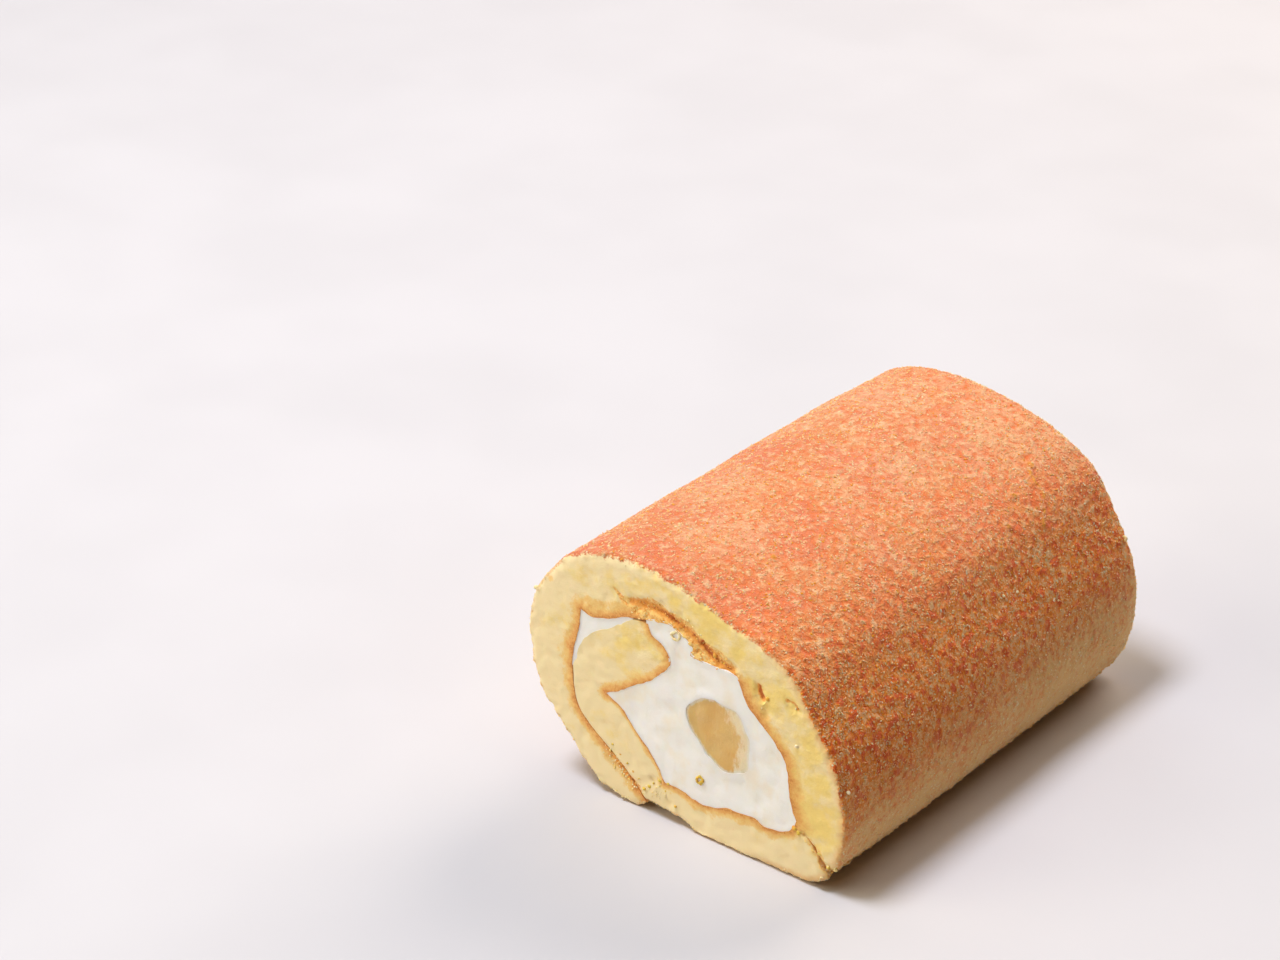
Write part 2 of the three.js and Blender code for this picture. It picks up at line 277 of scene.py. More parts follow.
def normals_of(points, faces):
    """Area-weighted unit normals of a triangle mesh."""
    normal = np.zeros_like(points)
    corner = points[faces]
    cross = np.cross(corner[:, 1] - corner[:, 0], corner[:, 2] - corner[:, 0])
    for i in range(3):
        np.add.at(normal, faces[:, i], cross)
    return normal / np.maximum(np.linalg.norm(normal, axis=1, keepdims=True), 1e-12)


# The frame's middle is set by its own box, so the roll is shifted to lie where the cream node does.
CREAM_NODE_END = 48.65
shift = 0.0
cream_outline = edge(CREAM_LOOP, 1.0)[0]
cream_right = max(placed(cream_outline, y)[:, 0].max() for y in (-CREAM_NODE_END, CREAM_NODE_END))
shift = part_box("cream")[1].x / MM - cream_right

# Columns of the sponge's wall: outside ones first, then the hidden ones along the seam and the filling.
SEAM_GAP, FILLING_GAP = 0.06, 0.12
MOUTH = np.array([-8.1, 1.7])  # where the seam opens, which doesn't turn with the filling
open_side = [UNDER_RIGHT, BASE, CORNER, CRACK_LINE, ROUND, SHEET_END]
hidden_side = [SEAM_UP, TUCK_LEFT, TUCK_TOP, FLAP_ABOVE, *CREAM_EDGE, FLAP_TIP, FLAP_BELOW, TUCK_UNDER,
               SEAM_DOWN]
outer_spacing = [CRACK_SPACING if stretch is CRACK_LINE else OUTSIDE_SPACING for stretch in open_side]
outer_section, outer_owner = edge(open_side, outer_spacing, SEAM_UP[0])
inner_section, inner_owner = edge(hidden_side, EDGE_SPACING, UNDER_RIGHT[0])
outer_count, inner_count = len(outer_section), len(inner_section)
is_crack = outer_owner == open_side.index(CRACK_LINE)
crack_open = outer_section.copy()
crack_open[is_crack] = evenly(CRACK, is_crack.sum())[:-1]


def on(*stretches):
    return np.isin(inner_owner, [hidden_side.index(stretch) for stretch in stretches])


inner_normal = outward(np.vstack([outer_section, inner_section]))[outer_count:]
gap = np.where(on(SEAM_UP, SEAM_DOWN, FLAP_BELOW, FLAP_ABOVE), SEAM_GAP, FILLING_GAP)
inner_section = inner_section - inner_normal * gap[:, None]
turned = ramp(0, 6, np.linalg.norm(inner_section - MOUTH, axis=1))

NEAR_ARRIS, NEAR_ROUNDING, FAR_ARRIS, FAR_ROUNDING = 0.45, 1.1, 1.6, 4.0
WORN_ARRIS, WORN_ROUNDING = 1.5, 8.0  # more is gone low on the far end's right
LOST_FOOT = 3.2  # how far the far end's right foot stops short
CRACK_DEPTH = 7.0
CLOSE_RINGS, EVEN_FROM = np.array([0, 0.15, 0.45, 0.9]), 1.4  # distances from each cut
COARSE_EVERY = 8  # rings of the hidden walls, out of those of the outside
even = np.linspace(-HALF + EVEN_FROM, HALF - EVEN_FROM, round((LENGTH - 2 * EVEN_FROM) / OUTSIDE_SPACING) + 1)
fine_y = np.concatenate([-HALF + CLOSE_RINGS, even, HALF - CLOSE_RINGS[::-1]])
ring_count = len(fine_y)
coarse = sorted({0, 3, *range(COARSE_EVERY, ring_count - 4, COARSE_EVERY), ring_count - 4, ring_count - 1})
section_angle = np.degrees(np.arctan2(outer_section[:, 1] - HEIGHT / 2, outer_section[:, 0]))
worn = ramp(-48, -34, section_angle) * ramp(-4, -22, section_angle)


def inset(y):
    near = NEAR_ARRIS * max(0, 1 - (y + HALF) / NEAR_ROUNDING) ** 2.2
    far = FAR_ARRIS * max(0, 1 - (HALF - y) / FAR_ROUNDING) ** 2.6
    return near + far + worn * WORN_ARRIS * max(0, 1 - (HALF - y) / WORN_ROUNDING) ** 2


# The hand-rolled lumps and dents come from the frame's own solid: rays from outside measure how far it
# stands from the plain rolled shape. Each cut's torn pits are measured the same way, along the roll.
STAND_OFF, LARGEST_LUMP = 3, 1.5
PROBE_FROM, PROBE_TO, PROBE_STEP = -46.5, 44.6, 2.6
SMOOTHED_ROUND, SMOOTHED_ALONG = 40, 2  # times
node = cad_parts["sponge"].data
solid = BVHTree.FromPolygons([v.co for v in node.vertices], [p.vertices[:] for p in node.polygons])


def run_of_ray(start, direction, limit):
    """How far a ray runs before it meets the solid, in millimetres; not a number if it meets nothing."""
    travelled = solid.ray_cast(start, Vector(direction), limit * MM)[3]
    return math.nan if travelled is None else travelled / MM


plain_normal = outward(outer_section)
plain_normal[0], plain_normal[-1] = plain_normal[1], plain_normal[-2]
probe_y = np.arange(PROBE_FROM, PROBE_TO, PROBE_STEP)
lumps = np.full((len(probe_y), outer_count), np.nan)
for j, y in enumerate(probe_y):
    for i, ((x, z), (right, rise)) in enumerate(zip(placed(outer_section, y, 0.0), plain_normal)):
        start = Vector((x + STAND_OFF * right, y, z + STAND_OFF * rise)) * MM
        lump = STAND_OFF - run_of_ray(start, (-right, 0, -rise), 2 * STAND_OFF)
        if abs(lump) < LARGEST_LUMP:
            lumps[j, i] = lump
for i in range(outer_count):
    known = ~np.isnan(lumps[:, i])
    lumps[:, i] = np.interp(probe_y, probe_y[known], lumps[known, i]) if known.any() else 0
for _ in range(SMOOTHED_ROUND):
    lumps[:, 1:-1] = (lumps[:, :-2] + 2 * lumps[:, 1:-1] + lumps[:, 2:]) / 4
for _ in range(SMOOTHED_ALONG):
    lumps[1:-1] = (lumps[:-2] + 2 * lumps[1:-1] + lumps[2:]) / 4

points = []
for y in fine_y:
    opened = math.sqrt(min(max((abs(y) - HALF) / CRACK_DEPTH + 1, 0), 1))
    section = outer_section + (crack_open - outer_section) * opened
    step = np.clip((y - probe_y[0]) / (probe_y[1] - probe_y[0]), 0, len(probe_y) - 1.001)
    lump = lumps[int(step)] + (lumps[int(step) + 1] - lumps[int(step)]) * ramp(0, 1, step % 1)
    moved = placed(section, y, 0.0) + plain_normal * (lump - inset(y) * ~is_crack)[:, None]
    points.append(at_y(moved, y))
beside_filling = on(TUCK_TOP, TUCK_LEFT, TUCK_UNDER, *CREAM_EDGE)
for y in fine_y[coarse]:
    ragged = np.maximum(texture(at_y(inner_section, y), (0.3, 1.3, 61), (0.25, 3.5, 62)), -0.12)
    section = inner_section + inner_normal * (ragged * beside_filling)[:, None]
    points.append(at_y(placed(section, y, turned), y))
points = np.vstack(points)


def outer(ring, column):
    return ring * outer_count + column


def hidden(level, column):
    return ring_count * outer_count + level * inner_count + column


def wall_between(rows, columns, number, alternate):
    """Triangles over rows and columns of numbered points, their diagonals all one way or alternating."""
    made = []
    for j in range(rows - 1):
        for i in range(columns - 1):
            a, b, c, d = number(j, i), number(j, i + 1), number(j + 1, i + 1), number(j + 1, i)
            made += [(a, b, d), (b, c, d)] if alternate and (i + j) % 2 == 0 else [(a, b, c), (a, c, d)]
    return made


faces = wall_between(ring_count, outer_count, outer, True)
faces += wall_between(len(coarse), inner_count, hidden, False)
for fine_column, coarse_column, flip in ((outer_count - 1, 0, False), (0, inner_count - 1, True)):
    for k, (first, last) in enumerate(zip(coarse, coarse[1:])):
        half = (first + last) // 2
        near, far = hidden(k, coarse_column), hidden(k + 1, coarse_column)
        fan = [(outer(j, fine_column), near if j < half else far, outer(j + 1, fine_column))
               for j in range(first, last)]
        fan.insert(half - first, (outer(half, fine_column), near, far))
        faces += [triangle[::-1] for triangle in fan] if flip else fan

# The cut ends, with finer crumb where the sheet has torn above the cream.
TORN_BAND = np.array([
    (-16.2, 45.6), (-13.5, 44.2), (-11, 44), (-9, 45.4), (-7, 46.2), (-5.2, 45.7), (-3.4, 44.6),
    (-1, 44.5), (1.2, 44.2), (3, 42.6), (4.9, 41.6), (6.8, 41.4), (8.8, 40.7), (10.8, 39.4), (12.4, 37.4),
    (12.6, 35.6), (11.3, 36.7), (6, 36.7), (1.9, 37.2), (1.6, 38.9), (0.3, 40), (-3.4, 41.7), (-8, 40.9),
    (-11.6, 41.6), (-14, 42.6), (-15.6, 44.4)])
ends = []
for ring, level, seed in ((0, 0, 3), (ring_count - 1, len(coarse) - 1, 4)):
    border = np.concatenate([outer(ring, np.arange(outer_count)), hidden(level, np.arange(inner_count))])
    y = fine_y[ring]
    points, triangles, index = with_end(points, [border], y, CAP_SPACING, seed, placed(TORN_BAND, y))
    faces += triangles
    ends.append((index, -1 if ring == 0 else 1))
faces = np.array(faces)
far_share, low_share = ramp(36, HALF, points[:, 1]), ramp(9, 0.5, points[:, 2])
points[:, 1] -= LOST_FOOT * far_share * low_share * ramp(12, 28, points[:, 0])

# What shows on each point of the cut faces: how deep it lies under the browned skin, as a share of the skin's
# thickness there, how torn it is, and how far it is from the outside.
SKIN_DEPTH = [2.4, 3.0, 3.0, 2.6, 2.4, 2.2, 3.0, 1.8, 1.0, 2.1, 1.7]  # one for each browned stretch
OUTER_TURN = 4  # how many of them face the flap, the others the cream
NOT_BROWNED, TAN_DEPTH, SKIN_KEPT_WHOLE = 9.0, 0.62, 0.12  # shares of the skin's thickness
TAN_PATCH = np.array([(-24.5, 38.5), (-21.2, 36.6), (-17.8, 37.2), (-12, 40), (-7.5, 41), (-7, 43.2),
                      (-10, 43.8), (-13, 43), (-18, 41.6), (-22.5, 41)])


def browned_share(section):
    """Depth under the browned face as a share of its thickness; the far side of the seam isn't under it."""
    first = np.searchsorted(inner_owner, np.arange(len(hidden_side) + 1))
    distance = [away(section, inner_section[a:b + 1]) for a, b in zip(first, first[1:])]
    share = [d / depth for d, depth in zip(distance, SKIN_DEPTH)]
    pale_nearer = np.min(distance[len(SKIN_DEPTH):], axis=0) < np.min(distance[:OUTER_TURN], axis=0)
    across = np.where(pale_nearer, NOT_BROWNED, np.min(share[:OUTER_TURN], axis=0))
    return np.minimum(across, np.min(share[OUTER_TURN:], axis=0))


SPOTS = [  # x, z, radius, yellow to tan
    (-2, 47, 2.2, 1), (12, 41.5, 2.6, 1), (-16, 31.5, 4, 0.5), (26.5, 30, 3, 0.8),
    (30.5, 22, 3.5, 0.9), (31, 14, 3.5, 1), (-30.5, 41.5, 1.4, -0.8), (-12, 48.2, 1, -0.7),
    (15, 36.5, 2.4, 1.6), (18.5, 35, 2.4, 1.6), (-16.5, 9.4, 2, 1.3), (-13.2, 6.8, 2, 1.5),
    (-10, 4.8, 1.8, 1.3), (-6.5, 6.2, 1.6, 1), (31.6, 4.8, 2, 1.4), (29.6, 8.2, 2, 1.2)]
BROWN_AND_SHADE_LINES = [  # where the tear and two small pits are deepest: the line, half its width, how much brown and painted shade
    ([(-11.4, 43.8), (-8, 44.2), (-4.7, 43.9), (-1.6, 43.1), (1.5, 42), (5.2, 39.9), (7.6, 38.5),
      (10.5, 38)], 1.6, 0.85),
    ([(4.2, 40.7), (5.4, 39.9), (6.2, 39.2)], 1.5, 1.3), ([(-3.2, 43.6), (-1.6, 43)], 1.1, 1.1),
    ([(16.6, 36.9), (16.8, 35.9), (17.5, 34.6)], 0.8, 1.3),
    ([(22.6, 36.6), (23.9, 36.7), (24.9, 35.6)], 0.5, 0.8),
    ([(-16, 8.9), (-12.6, 6), (-9.6, 4)], 0.9, 0.8)]
SHALLOWEST_PIT, DEEPEST_PIT, RAY_MARGIN, RAY_LIMIT = 0.2, 4.5, 1, 8
browner_and_shaded, spots, rim, torn, blush, cut_share, sunk = np.zeros((7, len(points)))
skin = np.full(len(points), 4.0)
wall_end = ring_count * outer_count
hidden_walls = np.tile(np.where(inner_owner < len(SKIN_DEPTH), 0.0, 3.0), len(coarse))
skin[wall_end:wall_end + len(hidden_walls)] = hidden_walls


def blushed(angle, far):
    """Blush covers the top and fades down both flanks, further down on the right than on the left."""
    angle = np.where(angle < -90, angle + 360, angle)
    return ramp(-38 + 10 * far, 6 + 12 * far, angle) * (1 - ramp(128, 165, angle))


for index, sign in ends:
    y = sign * HALF
    section = unplaced(flat(points[index]), y)
    for x, z, radius, shade in SPOTS:
        spots[index] += shade * ramp(radius, 0.0, np.hypot(section[:, 0] - x, section[:, 1] - z))
    for line, width, share in BROWN_AND_SHADE_LINES:
        streak = share * ramp(width, 0.0, away(section, np.array(line)))
        browner_and_shaded[index] = np.maximum(browner_and_shaded[index], streak)
    skin[index] = browned_share(section)
    tan = ramp(-0.8, 1.0, depth_in(section, TAN_PATCH))
    skin[index] += (np.minimum(skin[index], TAN_DEPTH) - skin[index]) * tan
    rim[index] = np.minimum(away(section, closed(outer_section)), 8)
    cut_share[index] = 1 - (0.5 if sign < 0 else 0.0) * ramp(1.3, 0.0, rim[index])
    blush[index] = blushed(np.degrees(np.arctan2(section[:, 1] - HEIGHT / 2, section[:, 0])), float(sign > 0))
    torn[index] = np.maximum(ramp(-0.5, 0.7, depth_in(section, TORN_BAND)),
                             0.75 * ramp(1.1, 0.2, away(section, CRACK[2:9])))
    wander_x = texture(points[index], (0.5, 1.7, 11), (0.25, 0.9, 12))
    wander_z = texture(points[index], (0.5, 1.7, 13), (0.25, 0.9, 14))
    for i, (x, z) in zip(index, flat(points[index]) + np.stack([wander_x, wander_z], 1)):
        start = Vector((x * MM, (y + sign * RAY_MARGIN) * MM, z * MM))
        depth = run_of_ray(start, (0, -sign, 0), RAY_LIMIT) - RAY_MARGIN
        sunk[i] = depth if SHALLOWEST_PIT < depth < DEEPEST_PIT and skin[i] > SKIN_KEPT_WHOLE else 0
    pits = np.minimum(sunk[index], 0.25) * (1 - 0.5 * torn[index]) * (1 - 0.9 * ramp(-9, -13, section[:, 0]))
    grit = texture(points[index], (0.5, 1.5, 15), (0.5, 0.8, 16))
    sunk[index] = pits + torn[index] * np.maximum(0.05 + 0.55 * grit, 0) + 0.35 * browner_and_shaded[index]

for ring, y in enumerate(fine_y):
    columns = slice(ring * outer_count, (ring + 1) * outer_count)
    blush[columns] = blushed(section_angle, (y + HALF) / LENGTH)
    bare = 0.8 + (2.0 + 3.0 * worn) * (y > 0)
    cut_share[columns] = (0.5 if y < 0 else 1.0) * ramp(bare, 0.0, min(y + HALF, HALF - y))
    cut_share[columns][is_crack] = 1 if abs(y) > HALF - CRACK_DEPTH else 0
    torn[columns][is_crack] = 0.6

# A hairline crease and a few deep pores near the far end of the crown.
CREASE = np.array([(18.9, 32.6, 46.6), (20.8, 31.5, 45.4), (23.2, 30.9, 43.6), (25, 28.4, 41.8),
                   (26.6, 26, 40.1)])
PORES = [(20.5, 24.8, 44.9, 1), (23.8, 17.7, 42.5, 0.9), (18.2, 34.1, 46.9, 1.1), (27.5, -14, 38.7, 0.9),
         (12, 2, 49.6, 0.8), (31, -3, 32, 1), (4, -30, 50.3, 0.9)]
wall = points[:wall_end]
hollow = 0.6 * ramp(0.6, 0.1, away(wall, CREASE) + texture(wall, (0.25, 1.2, 21)))
for x, y, z, radius in PORES:
    hollow = np.maximum(hollow, 0.7 * ramp(radius, 0.2, np.linalg.norm(wall - (x, y, z), axis=1)))
sunk[:wall_end] = hollow

# Relief of the crumb: fuzz and small pits outside, a nearly smooth cut, and ragged pits in the torn band.
outside_only = np.arange(len(points)) < wall_end
from_cut = HALF - np.abs(points[:, 1])
height = points[:, 2]
broad = texture(points, (1, 2.6, 0))
small = texture(points, (1, 1.5, 7))
crumble = 0.2 + texture(points, (0.5, 1.3, 44))
pitted = ramp(-0.05, 0.45, texture(points, (0.7, 1.5, 31), (0.6, 0.95, 32)))
pit_depth = 0.05 + (0.05 + 0.12 * ramp(48, 30, height)) * blush
rough = 0.05 * broad + 0.1 * small - 0.03 - pit_depth * pitted
rough += ramp(3.2, 0.2, from_cut) * (texture(points, (0.2, 1.9, 41), (0.12, 1.3, 42)) - 0.06)
rough -= 0.6 * sunk
rough += between(0.2, 1.0, 3.0, 5.5, height) * (texture(points, (0.3, 0.95, 43)) - 0.05)
free_of_table = 0.7 + 0.3 * ramp(0.3, 3.0, height)
facing = normals_of(points, faces)
facing[:wall_end, 1] *= 1 - ramp(1.4, 0.4, from_cut[:wall_end])
moved = points + facing * np.where(outside_only, rough * free_of_table, 0.0)[:, None]
rough_cut = (0.1 * small + 0.12 * broad - 0.05) * ramp(0.05, 0.6, skin)
for index, sign in ends:
    inwards = sunk[index] - np.minimum(rough_cut[index], 0.0)
    inwards += np.maximum(ramp(1.5, 0.0, rim[index]) * crumble[index], 0)
    inwards[:outer_count] = 0
    moved[index, 1] -= sign * inwards
worn_back = ramp(1.6, 0.0, from_cut) * np.maximum(crumble, 0) * outside_only
moved[:, 1] -= np.sign(points[:, 1]) * worn_back
teeth = between(0.3, 1.2, 3.5, 6.5, height) * np.sign(points[:, 0]) * outside_only
moved[:, 0] += teeth * texture(points, (0.45, 0.95, 45), (0.08, 2.6, 46))
moved[:, 2] = np.maximum(moved[:, 2], 0)
points = moved

sponge = mesh_object("roll_sponge", points, faces, {
    "cut": cut_share, "skin": np.minimum(skin, 4), "torn": torn, "blush": blush, "sunk": sunk,
    "rim": rim, "pit": pitted * outside_only, "spots": spots, "brown": browner_and_shaded})


def add_node(tree, kind, settings={}, inputs={}):
    """A node of the given type with its settings and then the values or links of its sockets."""
    made = tree.nodes.new(kind)
    for key, value in settings.items():
        setattr(made, key, value)
    for key, value in inputs.items():
        exact = [s for s in made.inputs if s.identifier == key]
        feed(tree, exact[0] if exact else made.inputs[key], value)
    return made


def feed(tree, socket, value):
    value = getattr(value, "socket", value)
    if isinstance(value, bpy.types.NodeSocket):
        tree.links.new(value, socket)
    else:
        socket.default_value = (*value, 1.0) if socket.type == "RGBA" and len(value) == 3 else value


class Number:
    """A number inside a material: arithmetic on it adds the Math nodes that work it out."""

    def __init__(self, finish, socket):
        self.finish, self.socket = finish, socket

    def math(self, operation, other):
        node = self.finish.node("Math", {"operation": operation}, {0: self, 1: other})
        return Number(self.finish, node.outputs[0])

    def __add__(self, other): return self.math("ADD", other)
    def __sub__(self, other): return self.math("SUBTRACT", other)
    def __mul__(self, other): return self.math("MULTIPLY", other)
    def __truediv__(self, other): return self.math("DIVIDE", other)
    def __rsub__(self, other): return (self * -1) + other
    __radd__, __rmul__ = __add__, __mul__

    def step(self, low, high):
        """0 below low, 1 above high and smooth between; high may be the smaller of the two."""
        rising = (self - low) / (high - low)
        node = self.finish.node("MapRange", {"interpolation_type": "SMOOTHSTEP"}, {"Value": rising})
        return Number(self.finish, node.outputs["Result"])


class Finish:
    """A material, built one node at a time. Soft gives how much light gets in, how far and on what scale."""

    def __init__(self, name, roughness, specular, soft=(), **constants):
        self.material = bpy.data.materials.new(name)
        self.material.use_nodes = True
        self.tree = self.material.node_tree
        self.tree.nodes.clear()
        soft = zip(("Subsurface Weight", "Subsurface Radius", "Subsurface Scale"), soft)
        self.shader = self.node("BsdfPrincipled", {}, {
            "Roughness": roughness, "Specular IOR Level": specular, **dict(soft), **constants})
        self.node("OutputMaterial", {}, {"Surface": self.shader.outputs[0]})
        self.place = self.node("TexCoord").outputs["Object"]

    def node(self, kind, settings={}, inputs={}):
        return add_node(self.tree, "ShaderNode" + kind, settings, inputs)

    def show(self, base, height=None, depth=0.0):
        """The colour that shows, and heights 0 to 1 as relief of the given depth in millimetres."""
        feed(self.tree, self.shader.inputs["Base Color"], base)
        if height is not None:
            bump = self.node("Bump", {}, {"Height": height, "Distance": depth * MM, "Strength": 1.0})
            feed(self.tree, self.shader.inputs["Normal"], bump.outputs[0])

    def attribute(self, name):
        return Number(self, self.node("Attribute", {"attribute_name": name}).outputs["Fac"])

    def noise(self, size, detail=2.0, roughness=0.5, offset=0.0, stretch=(1, 1, 1)):
        """Noise of the given size in millimetres, 0 to 1 about one half."""
        place = self.place
        if offset or stretch != (1, 1, 1):
            place = self.node("Mapping", {}, {"Vector": place, "Location": (offset, offset / 2, -offset),
                                              "Scale": stretch}).outputs[0]
        made = self.node("TexNoise", {}, {
            "Vector": place, "Scale": 1000 / size, "Detail": detail, "Roughness": roughness})
        return Number(self, made.outputs[0])

    def blend(self, share, first, second, kind="MIX"):
        made = self.node("Mix", {"data_type": "RGBA", "blend_type": kind},
                         {"Factor_Float": share, "A_Color": first, "B_Color": second})
        return made.outputs[2]

    def layers(self, base, *layers):
        """The base colour with each (share, colour) laid over what comes before it."""
        for share, over in layers:
            base = self.blend(share, base, over)
        return base

    def times(self, first, second):
        """The two colours multiplied."""
        return self.blend(1.0, first, second, "MULTIPLY")


def colour(*shown):
    """Red, green and blue in 0 to 255 as a screen shows them, as linear light."""
    return tuple(c / 255 / 12.92 if c <= 10 else ((c / 255 + 0.055) / 1.055) ** 2.4 for c in shown)


PALE_CRUMB = colour(249, 225, 172)
YELLOW_CRUMB = colour(249, 214, 112)
EDGE_CRUMB = colour(244, 186, 108)
SKIN_EDGE = colour(244, 196, 106)
BROWN_SKIN = colour(232, 162, 78)
SKIN_LINE = colour(208, 126, 50)
TORN_GOLD = colour(250, 204, 118)
TORN_BROWN = colour(240, 158, 64)
PIT_BROWN_AND_SHADE = colour(188, 86, 14)
PEACH_FUZZ = colour(245, 186, 134)
PALE_BLOOM = colour(242, 176, 124)
BLUSH = colour(232, 141, 80)
SALMON = colour(231, 126, 80)
ORANGE_PIT = colour(234, 118, 54)
DEEP_ORANGE = colour(234, 96, 2)
SIDE_FUZZ = colour(255, 196, 132)
SIDE_TONE = colour(255, 146, 30)
FLANK_PALE = colour(255, 204, 128)
FLANK_SPECK = colour(250, 166, 92)
CREASE_GOLD_AND_SHADE = colour(226, 144, 40)
WHITE, FOOT_PAINTED_SHADE, LEFT_PAINTED_SHADE = (1, 1, 1), (0.87, 0.87, 0.87), (0.8, 0.8, 0.86)

crumb = Finish("fuzzy_sponge", 0.9, 0.2, (0.15, (1.0, 0.5, 0.22), 0.0012),
               **{"Sheen Weight": 0.18, "Sheen Roughness": 0.6})
cut, skin_share, torn_share, blush_share, sunk_depth, rim_depth, pit_share, spot_share, brown_and_shade_share = map(
    crumb.attribute, ("cut", "skin", "torn", "blush", "sunk", "rim", "pit", "spots", "brown"))
axes = crumb.node("SeparateXYZ", {}, {"Vector": crumb.place}).outputs
rightward, along, up = (Number(crumb, axes[axis]) for axis in "XYZ")
grain = crumb.noise(1.25, 2.5, 0.55)
coarse_grain = crumb.noise(2.0, 3.0, 0.6, offset=0.2)
fine = crumb.noise(0.38, 2.0, 0.6, offset=0.3)
patches = crumb.noise(12.0, 3.0, 0.55, offset=0.1)
flecks = crumb.noise(1.2, 3.0, 0.7, offset=0.9)
mottled = crumb.noise(2.6, 3.0, 0.65, offset=0.7) - 0.5
finely, patchy, flecked = fine - 0.5, patches - 0.5, flecks - 0.5

# The cut: pale crumb with yellower spots, more of them on the right, and the browned skin along each turn.
yellowness = (patchy * 1.8 + rightward * 6.0 + mottled * 1.0 + rim_depth.step(0.5, 3.0) * 0.16 - 0.1
              - up.step(0.014, 0.006) * 0.3)
edge_share = (rim_depth + mottled * 2.0 + flecked * 1.5).step(2.2, 0.2) * rightward.step(0.008, 0.024)
uneven = crumb.noise(5.0, 3.0, 0.6, offset=0.55)
under_skin = skin_share * (0.2 + uneven * 1.6) + mottled * 0.6 + flecked * 1.1 + finely * 0.4
torn_mix = flecks * 0.7 + grain * 0.3 + finely * 0.6
torn_colour = crumb.layers(TORN_BROWN, (torn_mix.step(0.42, 0.52), TORN_GOLD),
                           (torn_mix.step(0.58, 0.7) * 0.7, PALE_CRUMB))
deep = sunk_depth + flecked * 0.7
deepest = brown_and_shade_share + flecked * 1.3 + finely * 0.6
face = crumb.layers(
    PALE_CRUMB,
    ((yellowness + spot_share * 0.4).step(-0.15, 0.45) * 0.85, YELLOW_CRUMB),
    ((spot_share * -1 + flecked * 0.8).step(0.2, 0.7) * 0.7, SKIN_EDGE),
    (edge_share * 0.7, EDGE_CRUMB),
    (under_skin.step(1.15, 0.6) * 0.85, SKIN_EDGE),
    (under_skin.step(0.7, 0.2) * 0.85, BROWN_SKIN),
    ((under_skin + finely * 0.3).step(0.22, 0.0) * 0.75, SKIN_LINE),
    ((torn_share + mottled * 1.2 + flecked * 1.2 + finely * 0.5).step(0.35, 0.65) * 0.9, torn_colour),
    # Painted shade, partly: the deeper pits and the tear's deepest lines are painted gold, brown and dark
    # brown, partly the torn crumb's own colour and partly the shade that falls in them.
    (deep.step(0.2, 0.6) * 0.7, TORN_GOLD),
    ((deep - (torn_mix - 0.5) * 1.4).step(0.35, 0.7) * 0.6, TORN_BROWN),
    (deepest.step(0.25, 0.6) * 0.85, TORN_BROWN),
    (deepest.step(0.65, 1.0) * 0.85, PIT_BROWN_AND_SHADE))

# The outside: peach fuzz over orange pits, deeper orange down the flank (partly painted light), fading through
# specks to pale tan.
# Painted light, partly: lower turns the flank to the brighter side tone from high up, so the upper flank is
# lifted as light would lift it, besides its own deeper orange.
side_share, lower = up.step(0.052, 0.037), up.step(0.050, 0.032)
fuzz = (grain * 0.65 + coarse_grain * 0.35 + finely * 0.35 + 0.03 + side_share * 0.02
        - pit_share * (side_share * 0.2 + 0.03))
bloom = (crumb.noise(16.0, offset=0.35) + along * 2.2 + mottled * 0.6 - lower * 0.4).step(0.42, 0.75)
tone = crumb.layers(BLUSH, ((patches + mottled * 0.7).step(0.4, 0.62), SALMON), (bloom * 0.65, PALE_BLOOM),
                    (lower, SIDE_TONE))
outside = crumb.layers(crumb.blend(lower, ORANGE_PIT, DEEP_ORANGE), (fuzz.step(0.36, 0.54), tone),
                       (fuzz.step(0.52, 0.7), crumb.blend(lower, PEACH_FUZZ, SIDE_FUZZ)))
spotted = flecks + patchy * 0.5 + blush_share * 0.25
blush_mix = blush_share + patchy * 0.4 + mottled * 0.9 + flecked * 0.9
outside = crumb.layers(FLANK_PALE, (spotted.step(0.5, 0.7) * 0.7, FLANK_SPECK),
                       (blush_mix.step(0.05, 0.85), outside))
# Painted shade: the outside's colour is darkened, and cooled a little, towards the roll's left side.
outside = crumb.times(outside, crumb.blend(rightward.step(-0.028, 0.016), LEFT_PAINTED_SHADE, WHITE))
# Painted shade: low on the right flank the outside's colour is darkened towards the foot.
low_right_painted_shade = up.step(0.034, 0.018) * rightward.step(0.0, 0.02)
outside = crumb.times(outside, crumb.blend(low_right_painted_shade, WHITE, FOOT_PAINTED_SHADE))
# Crease and pores painted darker gold: partly crumb showing in them, partly painted shade in the hollows.
outside = crumb.blend((sunk_depth + flecked * 0.3).step(0.15, 0.5) * 0.9, outside, CREASE_GOLD_AND_SHADE)
on_cut = (cut + mottled * 0.8 + flecked * 1.2 + finely * 0.6).step(0.3, 0.7)
relief = grain * 0.5 + coarse_grain * 0.3 + fine * 0.2
depth_share = (1 - on_cut * 0.8) * (0.35 + blush_share * 0.65) * (0.52 + side_share * 0.4) + torn_share * 0.12
crumb.show(crumb.blend(on_cut, outside, face), (relief - 0.5) * depth_share, 1.6)
sponge.data.materials.append(crumb.material)
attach(sponge, "root")
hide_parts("sponge")

# ----------------------------------------------------------------------
# Fuzz and crumbs of the sponge. Where the sheet left its paper the outside stands up in short pale threads
# and lumps of crumb, and torn edges shed small crumbs that stay on the cut.


